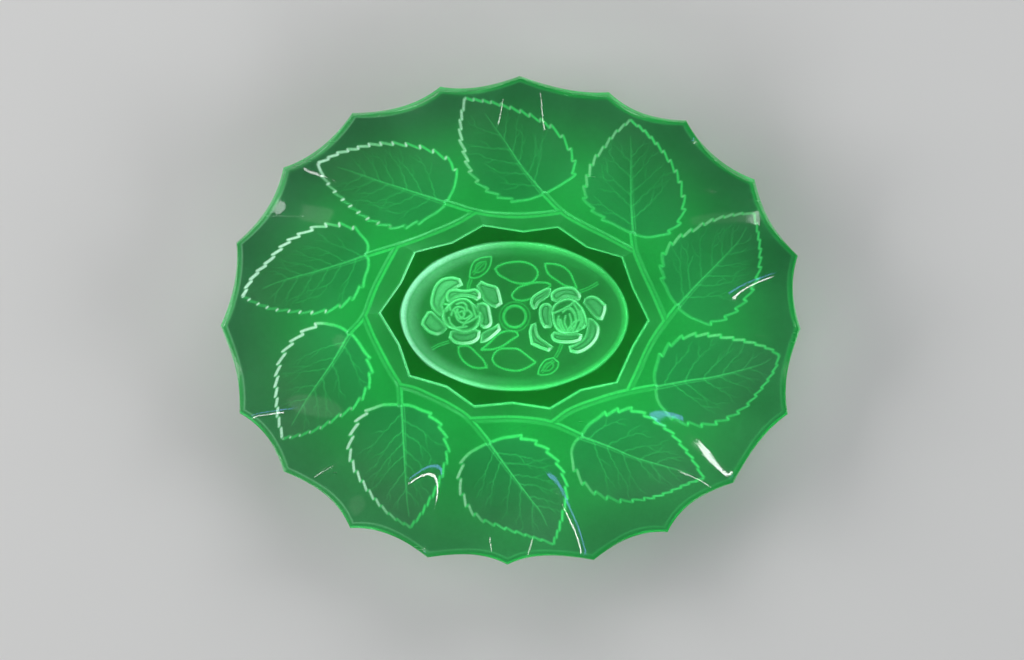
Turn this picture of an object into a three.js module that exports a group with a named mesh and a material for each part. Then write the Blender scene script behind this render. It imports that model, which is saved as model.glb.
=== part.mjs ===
// Uranium-glass dish: one heavy pressing of glass, oval, with ten waves round a
// twenty-pointed rim, standing on a flat ground foot in the shape of a ten-pointed star.
// Millimetres, +Z up. The origin is on the foot plane, at the middle of the rim's box,
// with +X along the long axis. The dish is a single closed body, because the real one
// is a single pressing with nothing fitted to it.
import * as THREE from 'three';

// ---- driving dimensions (mm) ----
const RIM = [ // the twenty points of the rim in plan, clockwise from the +Y end
  [0.1, 136.3], [46.0, 131.2], [89.4, 114.9], [125.3, 86.8], [153.7, 43.3],
  [155.6, 5.5], [154.1, -46.0], [124.4, -82.3], [90.9, -115.9], [48.9, -128.4],
  [1.8, -136.3], [-43.3, -128.0], [-86.0, -115.7], [-122.2, -79.4], [-146.7, -50.1],
  [-155.6, 1.9], [-148.1, 43.9], [-122.6, 87.7], [-87.5, 114.7], [-41.9, 131.9],
];
const SAG = [ // how far each arc between two points bows inwards at its middle
  2.6, 4.5, 4.4, 3.7, 3.0, 3.2, 2.6, 4.6, 4.0, 3.6,
  3.6, 4.0, 4.8, 3.7, 2.6, 2.8, 4.2, 3.9, 4.5, 3.0,
];
const STAR = [ // outline of the ground foot: outward corner, inward corner, ...
  [-71.9, 3.0], [-60.4, 20.1], [-53.2, 37.8], [-32.8, 43.2], [-16.4, 53.4],
  [5.6, 50.1], [24.5, 53.3], [40.7, 42.2], [60.4, 37.3], [67.1, 19.8],
  [76.8, 1.6], [68.7, -13.7], [60.6, -34.7], [40.5, -39.4], [23.8, -50.3],
  [2.9, -47.3], [-18.3, -49.8], [-34.0, -38.5], [-54.7, -32.8], [-60.8, -14.9],
];
const RING = [ // the decagon where the collar meets the flange
  [-21.0, 61.6], [27.5, 63.1], [66.5, 43.5], [86.1, 2.3], [66.9, -38.0],
  [24.9, -57.4], [-20.7, -56.7], [-61.3, -38.1], [-80.5, 2.7], [-63.8, 42.3],
];
const CENTRE = [2.6, 1.8];  // centre of the foot and of the oval recess
const OVAL_A = 62.55;        // half length of the oval recess in the foot
const OVAL_B = 42.3;         // half width
const RECESS = 3.0;          // depth of the oval recess
const BEVEL = 4.0;           // width of the recess's rounded border
const WELL_Z = 7.2;          // the well's floor above the foot plane
const STEP_Z = 2.4;          // height of the foot's edge
const STEP_W = 1.0;          // plan width of that edge
const RING_Z = 6.5;          // underside at the decagon
const WALL = 5.4;            // glass over the flange, measured upright
const RIM_Z = 25.5;          // mean height of the rim's lower edge
const WAVE = 8.0;            // half height of the rim's waves
const WAVE_POW = 1.6;        // how the waves die away towards the decagon
const RIM_T = 5.0;           // thickness at the rim, square to the flange
const PHASE = [0.0106, 0.0178, -0.0388, 0.006, 0.1594, -0.0093, -0.0025, 0.0152, -0.0076];    // evens out the waves over the unevenly spaced rim points

const HALF_X = 159.6, HALF_Y = 135.8;

// ---- plan curves as radius against angle about CENTRE ----
const sub = (p) => [p[0] - CENTRE[0], p[1] - CENTRE[1]];
function rimPoint(i, t) {
  const p = RIM[i % 20], q = RIM[(i + 1) % 20];
  const dx = q[0] - p[0], dy = q[1] - p[1], l = Math.hypot(dx, dy);
  // the rim runs clockwise, so the outward normal is (-dy, dx) / l
  const s = -4 * SAG[i % 20] * t * (1 - t);
  return [p[0] + dx * t - (dy / l) * s, p[1] + dy * t + (dx / l) * s];
}
const RIM_LINE = [];
for (let i = 0; i < 20; i++) for (let j = 0; j < 24; j++) RIM_LINE.push(rimPoint(i, j / 24));

function rayHit(line, a) { // distance from CENTRE to a closed polyline along angle a
  const c = Math.cos(a), s = Math.sin(a);
  for (let i = 0; i < line.length; i++) {
    const p = sub(line[i]), q = sub(line[(i + 1) % line.length]);
    const u0 = -s * p[0] + c * p[1], u1 = -s * q[0] + c * q[1];
    if ((u0 <= 0 && u1 > 0) || (u0 >= 0 && u1 < 0)) {
      const f = u0 / (u0 - u1);
      const r = c * (p[0] + (q[0] - p[0]) * f) + s * (p[1] + (q[1] - p[1]) * f);
      if (r > 0) return r;
    }
  }
  throw new Error('open curve');
}
const ovalR = (a) => 1 / Math.hypot(Math.cos(a) / OVAL_A, Math.sin(a) / OVAL_B);
// the inside of the dish follows a softened star
function softStar(a) {
  let sum = 0, w = 0;
  for (let k = -6; k <= 6; k++) {
    const g = Math.exp(-(k * k) / 12);
    sum += g * rayHit(STAR, a + k * 0.035); w += g;
  }
  return sum / w;
}

// ---- the wave of the rim ----
function wave(x, y) { // +1 on the odd rim points, -1 on the even ones
  const e = Math.atan2(y / HALF_Y, x / HALF_X);
  let u = ((Math.PI / 2 - e) * 10) / Math.PI + PHASE[0];
  for (let m = 1; m <= 4; m++) u += PHASE[2 * m - 1] * Math.cos(m * e) + PHASE[2 * m] * Math.sin(m * e);
  return -Math.cos(Math.PI * u);
}

// ---- columns: angles that hold every corner of the rim, star and decagon ----
const fixed = [], loose = [];
for (let i = 0; i < 20; i++) {
  for (let j = 0; j < 5; j++) {
    const p = sub(rimPoint(i, j / 5));
    (j === 0 ? fixed : loose).push(Math.atan2(p[1], p[0]));
  }
}
for (const p of STAR) fixed.push(Math.atan2(p[1] - CENTRE[1], p[0] - CENTRE[0]));
for (const p of RING) fixed.push(Math.atan2(p[1] - CENTRE[1], p[0] - CENTRE[0]));
fixed.sort((a, b) => a - b);
const near = (a, list, gap) => list.some((b) => Math.abs(Math.atan2(Math.sin(a - b), Math.cos(a - b))) < gap);
const angles = [];
for (const a of fixed) if (!near(a, angles, 0.008)) angles.push(a);
for (const a of loose) if (!near(a, angles, 0.024)) angles.push(a);
angles.sort((a, b) => a - b);

// ---- one column of section points, from the middle of the underside, out to the rim
//      and back over the inside to the middle ----
const FLANGE = [0.14, 0.3, 0.46, 0.62, 0.78, 0.92];
function column(a) {
  const c = Math.cos(a), s = Math.sin(a);
  const at = (r, z) => [CENTRE[0] + r * c, CENTRE[1] + r * s, z];
  const med = ovalR(a), star = rayHit(STAR, a), ring = rayHit(RING, a), rim = rayHit(RIM_LINE, a);
  const soft = softStar(a);
  const w = wave(CENTRE[0] + rim * c, CENTRE[1] + rim * s);
  const len = rim - ring;
  const under = (t) => RING_Z + (RIM_Z - RING_Z) * t + WAVE * w * Math.pow(t, WAVE_POW);
  const slope = Math.atan((RIM_Z - RING_Z + WAVE * w * WAVE_POW) / len);
  const pts = [];
  pts.push(at(med - BEVEL, RECESS), at(med - BEVEL * 0.42, RECESS * 0.86), at(med - BEVEL * 0.1, RECESS * 0.42), at(med, 0));
  pts.push(at(star, 0), at(star + STEP_W, STEP_Z), at(ring, RING_Z));
  for (const t of FLANGE) pts.push(at(ring + len * t, under(t)));
  // the rim's face stands square to the flange; its lower edge is the outermost line
  const zr = under(1);
  pts.push(at(rim, zr));
  pts.push(at(rim - RIM_T * Math.sin(slope), zr + RIM_T * Math.cos(slope)));
  for (let k = FLANGE.length - 1; k >= 0; k--) {
    const t = FLANGE[k];
    pts.push(at(ring + len * t, under(t) + WALL));
  }
  pts.push(at(ring, RING_Z + WALL), at(soft + 2.0, WELL_Z + 1.5), at(soft - 6.0, WELL_Z));
  return pts;
}

// ---- closed mesh ----
const cols = angles.map(column);
const n = cols.length, m = cols[0].length;
const pos = [];
for (const col of cols) for (const p of col) pos.push(...p);
const bottom = pos.length / 3;
pos.push(CENTRE[0], CENTRE[1], RECESS);
const top = pos.length / 3;
pos.push(CENTRE[0], CENTRE[1], WELL_Z);
const index = [];
for (let j = 0; j < n; j++) {
  const j1 = (j + 1) % n;
  index.push(bottom, j1 * m, j * m);
  index.push(top, j * m + m - 1, j1 * m + m - 1);
  for (let i = 0; i < m - 1; i++) {
    const a = j * m + i, b = j * m + i + 1, c = j1 * m + i, d = j1 * m + i + 1;
    index.push(a, c, d, a, d, b);
  }
}
const geometry = new THREE.BufferGeometry();
geometry.setAttribute('position', new THREE.Float32BufferAttribute(pos, 3));
geometry.setIndex(index);
geometry.computeVertexNormals();

const glass = new THREE.MeshStandardMaterial({
  color: 0x1f9e3c, roughness: 0.25, metalness: 0.0, emissive: 0x0a4012,
});
const dish = new THREE.Mesh(geometry, glass);
dish.name = 'dish';

const part = new THREE.Group();
part.name = 'uranium_glass_dish';
part.add(dish);
export default part;
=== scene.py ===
import math

import bpy
import numpy as np
from mathutils import Matrix, Vector


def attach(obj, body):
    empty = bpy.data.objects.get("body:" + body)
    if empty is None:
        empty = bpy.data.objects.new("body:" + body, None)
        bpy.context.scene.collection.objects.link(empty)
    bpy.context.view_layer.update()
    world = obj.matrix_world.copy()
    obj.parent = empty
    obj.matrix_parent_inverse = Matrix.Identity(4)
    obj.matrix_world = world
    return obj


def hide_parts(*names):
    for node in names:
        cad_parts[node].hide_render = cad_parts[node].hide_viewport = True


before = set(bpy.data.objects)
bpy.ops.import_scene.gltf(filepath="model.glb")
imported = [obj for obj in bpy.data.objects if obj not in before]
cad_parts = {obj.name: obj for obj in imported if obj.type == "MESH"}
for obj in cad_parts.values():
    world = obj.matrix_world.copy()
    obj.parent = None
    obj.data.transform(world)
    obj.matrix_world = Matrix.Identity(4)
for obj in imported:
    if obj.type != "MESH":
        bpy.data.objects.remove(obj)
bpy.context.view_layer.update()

# A pressed uranium glass dish. One closed mesh is built ring by ring: the
# underside carries the pressed pattern, the upper face is smooth and glossy.
# The lengths below are millimetres in the row frame, and are turned into
# metres when the mesh is made.

# ---------------------------------------------------------------- outlines
CENTRE = np.array([2.6, 1.8])
RIM = [(0.1, 136.3), (46.0, 131.2), (89.4, 114.9), (125.3, 86.8), (153.7, 43.3),
       (155.6, 5.5), (154.1, -46.0), (124.4, -82.3), (90.9, -115.9), (48.9, -128.4),
       (1.8, -136.3), (-43.3, -128.0), (-86.0, -115.7), (-122.2, -79.4), (-146.7, -50.1),
       (-155.6, 1.9), (-148.1, 43.9), (-122.6, 87.7), (-87.5, 114.7), (-41.9, 131.9)]
SAG = [2.6, 4.5, 4.4, 3.7, 3.0, 3.2, 2.6, 4.6, 4.0, 3.6,
       3.6, 4.0, 4.8, 3.7, 2.6, 2.8, 4.2, 3.9, 4.5, 3.0]
STAR = [(-71.9, 3.0), (-60.4, 20.1), (-53.2, 37.8), (-32.8, 43.2), (-16.4, 53.4),
        (5.6, 50.1), (24.5, 53.3), (40.7, 42.2), (60.4, 37.3), (67.1, 19.8),
        (76.8, 1.6), (68.7, -13.7), (60.6, -34.7), (40.5, -39.4), (23.8, -50.3),
        (2.9, -47.3), (-18.3, -49.8), (-34.0, -38.5), (-54.7, -32.8), (-60.8, -14.9)]
RING = [(-21.0, 61.6), (27.5, 63.1), (66.5, 43.5), (86.1, 2.3), (66.9, -38.0),
        (24.9, -57.4), (-20.7, -56.7), (-61.3, -38.1), (-80.5, 2.7), (-63.8, 42.3)]
OVAL = (62.55, 42.3)
RECESS, BEVEL, STEP_Z, RING_Z, RISE, WALL, RIM_T, WELL_Z = 3.0, 4.0, 2.4, 6.5, 19.0, 5.4, 5.0, 7.2
WAVE, WAVE_POW = 8.0, 1.6
PHASE = [0.0106, 0.0178, -0.0388, 0.006, 0.1594, -0.0093, -0.0025, 0.0152, -0.0076]
HALF_X, HALF_Y = 159.6, 135.8

# ------------------------------------------------- pattern lines, plan view
LEAVES = [  # each: base, one side to the tip, tip, other side from the base, midrib
    ((16.2, 72.6), [(3.9,68.4),(-7.9,70.6),(-18,76.7),(-24.6,85.2),(-28.1,95.6),(-30.4,103.2),(-31,112.5),(-30.2,120.6)],
     (-29.2, 125.5), [(29.5,82.4),(30.7,90.4),(28.9,97),(24,105.1),(16.8,111),(7.2,115.3),(-4.5,119.4),(-16.2,122.9)],
     [(15.1,73.6),(3.2,87.5),(-6.4,100.9),(-12.1,108.5),(-18.3,116.9)]),
    ((64.9, 51.5), [(51.1,58),(42.7,64.3),(37.8,71.3),(37.9,81),(40.7,92.6),(45.4,100.4),(50.9,109)],
     (58, 116.1), [(73.1,50.2),(81.7,52.6),(88.2,58.8),(90.8,68.7),(89.4,77),(86.4,85.7),(80.9,94.2),(73.3,103),(65.3,110.7)],
     [(64.8,53.4),(62.8,70.3),(61.6,84.2),(60.5,97.4),(59.2,107.1)]),
    ((91.5, 11.2), [(86.2,18.4),(82.5,27.6),(81.8,38.2),(84.5,45.1),(89.7,51.3),(97.1,56.7),(105.3,62.2),(113.6,65.7),(122,67.8)],
     (127, 67.8), [(94.6,8.4),(100.7,4.9),(109.6,3.7),(119.6,9.3),(127.9,19.1),(133.1,30.7),(133.9,38.7),(132.9,48.2),(130,59.3)],
     [(91.8,12.2),(100.8,24.1),(110.8,36.4),(120.9,50.4),(124.3,59.5)]),
    ((81.4, -34.9), [(80.7,-28),(82.2,-20.5),(86.5,-13.2),(92.4,-7.5),(99.4,-4.2),(109.8,-3),(118.5,-3.4),(130.7,-4.7),(141.1,-7.3)],
     (145.8, -10.4), [(82.9,-42.5),(87.6,-48.4),(93.9,-52.4),(101.1,-53.8),(110.2,-53.7),(121.2,-49.9),(130.5,-43.6),(136.5,-35.9),(141.8,-26.7),(145.3,-17.2)],
     [(82,-34.6),(99.9,-30),(110.6,-27.7),(122.7,-23.5),(137.1,-17.1),(142.4,-12.8)]),
    ((40.9, -63.9), [(45.9,-57),(53.1,-52),(62.2,-48.8),(68.6,-48.1),(75.8,-50.2),(83.1,-54.1),(90.4,-58.8),(97.6,-66.5),(103.1,-73)],
     (108.5, -81.5), [(37.3,-68),(35.8,-74.2),(38,-82),(42.6,-88.9),(49.2,-94.2),(58.7,-97.9),(67.3,-99.2),(75.8,-98.1),(83.1,-96.3),(91.8,-91.9),(100.1,-86.3)],
     [(41.6,-64.3),(56.2,-68.9),(71.1,-74.2),(84.7,-76.9),(96.2,-78.9),(102.7,-80.2)]),
    ((-10.3, -68.5), [(-16.7,-71.6),(-22.2,-75),(-24.9,-79.9),(-26.2,-86.8),(-25.6,-92.8),(-23.2,-99),(-19.9,-104.7),(-13.2,-110.5),(-4.6,-114.3),(3.9,-117.4),(14,-119.7)],
     (27.2, -121.9), [(-0.1,-65.4),(7.2,-65.3),(14.7,-67.5),(22.1,-71.8),(28.7,-79.2),(32.5,-87.5),(33.5,-96.3),(31.8,-105.7),(29.8,-114.3)],
     [(-9.6,-69.1),(2.1,-84.4),(14.4,-99.1),(19.6,-105),(23.7,-112.6)]),
    ((-59.7, -47.3), [(-70.5,-47.4),(-78.6,-51.1),(-83.5,-56.5),(-86.1,-63.2),(-87.3,-70.3),(-84.9,-80.1),(-79.8,-89.8),(-74.2,-97.9),(-67.7,-104.8),(-60.6,-109.8)],
     (-52.3, -113.1), [(-53.1,-48.4),(-44.7,-52.2),(-38.2,-58.2),(-33.9,-67.1),(-32.9,-75),(-35.4,-84.6),(-38.5,-92.4),(-43,-100.1),(-47.1,-107)],
     [(-58.9,-48.2),(-57.3,-69.5),(-55.5,-89.6),(-54.4,-100.1),(-53.2,-107.8)]),
    ((-88.3, -6.4), [(-92.8,-3.4),(-97.3,-1.5),(-102.6,-0.5),(-109.7,-2.8),(-115.8,-7),(-121,-12.3),(-124.2,-18),(-126.5,-26),(-127.2,-35),(-126.8,-43.5),(-126,-51.2),(-124.5,-57.6)],
     (-122.7, -63.4), [(-85.6,-8.9),(-80.9,-15.5),(-77.2,-23.1),(-76.2,-31.4),(-78,-37.9),(-81.4,-43.8),(-86.8,-48.9),(-93.9,-52.9),(-101.9,-57.7),(-109,-60.5),(-116.1,-62.4)],
     [(-88.7,-7.8),(-98,-24.3),(-108.2,-39.9),(-113.8,-49),(-118.2,-56.9)]),
    ((-78.9, 37.3), [(-78.6,43),(-81.2,47.8),(-85.7,52.5),(-91,54.6),(-97.1,55.3),(-105,54.2),(-112.1,50.7),(-120.1,45.7),(-127.3,38.5),(-131.6,33.2),(-137.6,27.4),(-142.1,21.3)],
     (-144.3, 15.8), [(-78.1,32.8),(-78.8,27.8),(-81.9,19.4),(-87.2,12.6),(-94.2,8.2),(-102.2,5.9),(-109.3,5.8),(-118.1,6.8),(-128.5,8.6),(-137.2,11.9)],
     [(-79,37.1),(-94.2,31.7),(-110.7,26.7),(-125.7,22.7),(-134.2,19.5)]),
    ((-36.5, 66.9), [(-32.8,75.4),(-31.8,82.8),(-35.2,90.4),(-42.5,95.3),(-51.5,98.2),(-63.8,99.1),(-72.6,98.5),(-79.6,97.5),(-85.7,95.9),(-95.1,93.6)],
     (-105, 89.1), [(-39.1,63.5),(-45.2,58.8),(-54.1,54.5),(-63.9,52.7),(-76.4,56.8),(-84.4,62.2),(-94.1,71.1),(-100.1,78.3),(-103.7,83.9)],
     [(-37.4,67.1),(-56.3,73),(-72.3,78.1),(-85.5,83.1),(-95.4,86.7)]),
]
STEMS = [
    [(65.2,42.5),(51.4,49.4),(36.5,56.6),(26.2,62.8),(16.2,72.6)],
    [(85.9,2.3),(78.3,18.4),(72.3,30.2),(66.9,42.4),(64.9,51.5)],
    [(67.5,-37.4),(71.9,-27.1),(78.6,-10.6),(85.9,2.3),(91.5,11.2)],
    [(25.3,-57.6),(35.8,-50.3),(50.5,-44.2),(66.9,-38.6),(81.4,-34.9)],
    [(-21.2,-56.7),(-7.9,-56.1),(7.1,-55.9),(25.3,-58),(40.9,-63.9)],
    [(-60.3,-37.7),(-52.3,-39.7),(-42.5,-44),(-32.5,-48.9),(-21.3,-56.2),(-10.3,-68.5)],
    [(-80.3,1.8),(-76,-8.8),(-69.1,-22.5),(-64.1,-31.4),(-60.6,-37.7),(-59.7,-47.3)],
    [(-63.7,41),(-69.9,28.7),(-75.1,17.5),(-80.6,2.4),(-88.3,-6.4)],
    [(-21.1,61.9),(-32.6,54.7),(-49.2,47.3),(-62.9,42.3),(-78.9,37.3)],
    [(26.2,63.1),(15.7,61.2),(3.3,60),(-9.1,60.3),(-21.6,62.3),(-36.5,66.9)],
]
PETALS = [
    ("A1", [(-26.2,19.5),(-27.8,23.2),(-32.3,24.3),(-38.1,23),(-41.8,19.2),(-43.6,13.9),(-44,8.5),(-41.9,4.5),(-38.5,1.4),(-35.8,4.6),(-37.1,7.7),(-35.4,12.1),(-32.1,15.9)]),
    ("A2", [(-35.4,10.9),(-35.7,14),(-34.3,16.5),(-31,17.5),(-26.7,17),(-23.1,17.1),(-19.4,17.7),(-16.6,15.6),(-16.2,12.5),(-18.3,10.6),(-21.1,12.1),(-26,12.9),(-30.2,11.6),(-33.2,9.1)]),
    ("A3", [(-19.2,19.3),(-16.5,22.3),(-12.8,20.7),(-7.8,19.2),(-5.9,15.8),(-4.3,9.3),(-7.9,6.7),(-11.3,8.2),(-15,11),(-16.6,14.4)]),
    ("A4", [(-18.3,9.3),(-15,10),(-11.9,8.5),(-10.5,3.8),(-9.7,-1.8),(-11.5,-4.4),(-14.5,-5.1),(-16.7,-2.6),(-16.2,1.2),(-18.5,5.6)]),
    ("A5", [(-45.5,4.4),(-48.1,0),(-49,-3.2),(-48.4,-3.8),(-45,-7.5),(-40.1,-9.2),(-36.5,-7.7),(-34.1,-4.8),(-37.2,-0.7),(-39.7,1.4),(-42.8,4.5)]),
    ("A6", [(-32.7,-6.6),(-33.5,-10.4),(-30.2,-13.5),(-25.3,-14.4),(-19.8,-13.4),(-16.5,-10.5),(-16,-6.3),(-19.4,-5.1),(-24.3,-6.8),(-29.8,-6)]),
    ("A7", [(-16.1,-13.3),(-11.9,-12),(-7.4,-8.4),(-4.7,-5.5),(-6.1,-1.4),(-9.1,-3.7),(-12.7,-5.7),(-15.4,-7.9)]),
    ("B1", [(12.3,6.4),(10.5,9.9),(11.7,14),(15.3,16.8),(19.2,18.8),(22.1,18.7),(21.6,15.1),(19.1,12.5),(15.8,10),(14.4,7.1)]),
    ("B2", [(22.5,11.7),(21.6,14.8),(23.5,17.6),(28,19.5),(33.5,19.6),(36.8,17.7),(38.6,14.5),(37.6,11.6),(34.7,12.8),(30.1,13.4),(25.9,10.8)]),
    ("B3", [(39.7,10.7),(41.1,13.6),(44.4,15),(48.4,13.7),(52.9,9.7),(52.6,5.6),(51.1,0.9),(47.7,1.7),(44.5,4.8),(41.9,7.9)]),
    ("B4", [(18,10),(20.7,10.4),(22.8,8.2),(22.6,3.2),(23.3,-1.9),(22.5,-3.8),(18.8,-4.1),(16.8,-0.7),(15.6,4.3),(16.1,8.1)]),
    ("B5", [(42.8,2.6),(46.5,1.1),(49.4,-2.7),(49.3,-7.7),(47.1,-12.2),(42.9,-16.1),(38.1,-18.2),(33.7,-17.5),(32.7,-14),(36.6,-12.4),(40.8,-9.1),(42.4,-4.7)]),
    ("B6", [(22.6,-7.9),(24.4,-5.6),(27.8,-6.5),(32.7,-6.9),(37,-6.4),(40.4,-7.2),(39.6,-11.1),(34.8,-12.4),(28,-12.5),(23.9,-11)]),
    ("B7", [(14.4,-0.8),(11.4,-2.1),(10.5,-6.5),(11.7,-13.4),(16.4,-15.6),(22,-17.6),(24.5,-14.5),(20.6,-11.7),(16.8,-8.9),(15.1,-5.2)]),
]
FOLDS = [
    [(-34.9,4.6),(-33.7,7.2),(-30.2,10.7),(-26,11.7),(-22.9,10.8),(-21,8),(-19.7,4.3),(-18.7,1.2)],
    [(-36.7,4),(-37,0.8),(-34.7,-3.5),(-31,-4.7),(-26.1,-6.8),(-22.4,-6.5),(-18.8,-4.5),(-16.8,-0.7),(-16.6,3.7)],
    [(-29.5,8.5),(-26.5,9.5),(-24.3,8),(-23.7,4.8)],
    [(-32.4,2.2),(-31.3,5.3),(-28.9,6.9),(-25.8,6.4),(-24.9,4.2),(-25.7,1.7),(-27.8,0.1)],
    [(-33.6,0.9),(-32.6,-2.2),(-29.8,-4.7),(-27.4,-4.7),(-23.7,-4)],
    [(-27.6,4.1),(-26.1,4.5),(-25.4,2.3),(-26.6,0.4),(-28.7,1),(-29.7,3.5),(-28.8,5.7)],
    [(-23.4,5.5),(-20.8,2.4),(-23.8,-0.8),(-25.6,-3.4)],
    [(-30.6,4.7),(-28.7,-0.3),(-25,-2.1),(-21.4,-0.8),(-17.8,1.8)],
    [(-29.4,5.4),(-27.5,1.6),(-24.5,0.4),(-21.5,2.4)],
    [(-36.2,8.7),(-33.8,8.1),(-32.8,5.3)],
    [(22.7,5.1),(24.1,8.9),(28.3,11.8),(32.6,12.8),(36.3,11)],
    [(22.8,4.1),(27.3,5.8),(32.7,9),(35.6,12.2)],
    [(36.3,10.7),(39.5,7.3),(41.5,2.3),(42.3,-1.5),(40.5,-3.4)],
    [(34.5,10.3),(37.1,6),(38.2,0.9),(37.3,0.3),(34.4,-4.2),(31.4,-6.4)],
    [(23.7,3.8),(24.5,-0.6),(27.1,-4.9),(30.5,-6.5)],
    [(32.1,8.4),(35.3,5.3),(36.7,-0.4),(35.5,-0.4),(32,-4.9)],
    [(27.8,0.7),(29.2,-3),(30.8,-5.8)],
    [(38.9,6),(40.1,1),(39.3,-2.8)],
    [(26.8,2.6),(26.3,-1.2),(28.9,-4.6)],
    [(29.0,5.1),(31.1,6.9),(33.6,6.4),(35.7,3.0),(36.3,-1.5),(35.0,-5.3)],
    [(27.1,0.9),(27.8,-3.2),(30.5,-6.6)],
    [(30.5,2.9),(30.2,-0.9),(32.0,-5.1)],
    [(32.7,4.0),(33.8,0.4),(33.9,-3.8)],
    [(37.3,6.5),(39.0,3.0),(39.0,-1.0),(37.0,-5.3)],
]
SPRIG_LEAVES = [
    ("M1", [(-9.1,29.1),(-6.4,31.1),(-1.6,32.7),(4.4,33.3),(9.3,32.3),(12.7,30.2),(14.3,27.1),(13.5,24.3),(10.9,21.8),(5.4,21),(0.5,21.9),(-2.6,23.4),(-6.9,25.8)]),
    ("M2", [(18.1,32.5),(23.3,32.3),(28.2,30.8),(32,27.5),(34.3,22.8),(36,19.1),(29.8,20.2),(24.8,23.3),(20.5,26.3),(18.8,29.4)]),
    ("M3", [(0.4,14.4),(3.1,17.9),(7.3,20.1),(13.3,21.7),(19.4,21.6),(21.8,20.4),(19.5,18.2),(14.8,15),(10.6,12.4),(6.3,11.4),(2,12.2)]),
    ("M4", [(-9.2,-22.1),(-8,-18.9),(-5,-16.3),(-0.1,-15.9),(4.8,-16.2),(9.2,-19.2),(14.9,-23.6),(10,-26.8),(4.6,-28.5),(-2.2,-27.7),(-7.2,-25.2)]),
    ("M5", [(-28,-15.4),(-25.3,-14.8),(-21.9,-15.3),(-17.2,-19.7),(-14.1,-22.8),(-12.1,-26.9),(-17,-27.4),(-21.6,-26.1),(-25.4,-23),(-27.6,-19.2)]),
    ("M6", [(-15.4,-16.8),(-11.3,-13.2),(-6.5,-8.1),(-1.7,-6.1),(3.2,-6.3),(4.8,-8.5),(0.9,-11.1),(-3.3,-14.3),(-8.7,-16.3)]),
    ("bud1", [(-22.9,24.2),(-22.4,28.6),(-21,32.3),(-17.5,34.9),(-11.4,35.9),(-11.6,31.9),(-13.6,27.5),(-17.2,24.6),(-20.8,23.6)]),
    ("bud2", [(16.3,-30.2),(17.4,-26.1),(20.3,-22.2),(24.6,-20.8),(27.5,-23.3),(27,-26.5),(23.7,-29.8),(18.8,-30.8)]),
]
TWIGS = [
    [(-22,23.3),(-23.1,19.9),(-23.4,17.4)],
    [(-42.4,-16.6),(-38.1,-14.3),(-33.3,-12.6)],
    [(37.9,17.3),(42.1,18.9),(47.5,22.1)],
    [(25.8,-20.2),(27.5,-17),(28.9,-13.1)],
    [(-20.9,26.1),(-17.9,29.9),(-15.6,32.4)],
    [(18.7,-29.2),(21.7,-25.4),(24.7,-22.8)],
]

# ------------------------------------------------------------ small helpers
rng = np.random.default_rng(20)


def smooth(x):
    x = np.clip(x, 0.0, 1.0)
    return x * x * (3.0 - 2.0 * x)


def resample(p, step):
    p = np.asarray(p, float)
    s = np.concatenate([[0.0], np.cumsum(np.hypot(*np.diff(p, axis=0).T))])
    t = np.linspace(0.0, s[-1], max(2, int(round(s[-1] / step)) + 1))
    return np.stack([np.interp(t, s, p[:, 0]), np.interp(t, s, p[:, 1])], 1)


def curve(p, step=0.3):
    """A smooth line through the points."""
    p = np.asarray(p, float)
    e = np.vstack([2 * p[0] - p[1], p, 2 * p[-1] - p[-2]])
    t = np.linspace(0, 1, 10, endpoint=False)[:, None]
    out = []
    for i in range(len(p) - 1):
        a, b, c, d = e[i:i + 4]
        out.append(0.5 * (2 * b + (c - a) * t + (2 * a - 5 * b + 4 * c - d) * t * t + (3 * b - a - 3 * c + d) * t ** 3))
    return resample(np.vstack(out + [p[-1:]]), step)


def outline(p, step=0.3, sharp=52):
    """A smooth closed line through the points that keeps its sharp corners."""
    p = np.asarray(p, float)
    n = len(p)
    v = np.roll(p, -1, 0) - p
    a = np.arctan2(v[:, 1], v[:, 0])
    turn = np.abs((a - np.roll(a, 1) + np.pi) % (2 * np.pi) - np.pi)
    corners = [i for i in range(n) if turn[i] > math.radians(sharp)] or [int(np.argmax(turn))]
    parts = []
    for i, k in enumerate(corners):
        m = corners[(i + 1) % len(corners)]
        run = [(k + j) % n for j in range((m - k - 1) % n + 2)]
        parts.append(curve(p[run], step)[:-1])
    return np.vstack(parts)


# ------------------------------------------------- the pattern, as a raster
CELL = 0.16
X0, Y0, NX, NY = -163.0, -141.0, 2040, 1764


def field(v=0.0):
    return np.full((NY, NX), v, np.float32)


def span(lo, hi, pad):
    i0 = max(0, int((lo[0] - pad - X0) / CELL)); i1 = min(NX, int((hi[0] + pad - X0) / CELL) + 2)
    j0 = max(0, int((lo[1] - pad - Y0) / CELL)); j1 = min(NY, int((hi[1] + pad - Y0) / CELL) + 2)
    return i0, i1, j0, j1


def runs(p, pad, closed=False):
    """For each short piece of a line: its window, and the distance and place along the line there."""
    q = np.vstack([p, p[:1]]) if closed else p
    s = np.concatenate([[0.0], np.cumsum(np.hypot(*np.diff(q, axis=0).T))])
    for k in range(len(q) - 1):
        a, b = q[k], q[k + 1]
        i0, i1, j0, j1 = span(np.minimum(a, b), np.maximum(a, b), pad)
        if i1 <= i0 or j1 <= j0:
            continue
        x = (X0 + CELL * np.arange(i0, i1) - a[0])[None, :]
        y = (Y0 + CELL * np.arange(j0, j1) - a[1])[:, None]
        d = b - a
        l2 = max(d @ d, 1e-9)
        u = np.clip((x * d[0] + y * d[1]) / l2, 0, 1)
        dist = np.hypot(x - u * d[0], y - u * d[1])
        yield (slice(j0, j1), slice(i0, i1)), dist, (s[k] + u * math.sqrt(l2)) / s[-1]


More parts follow.
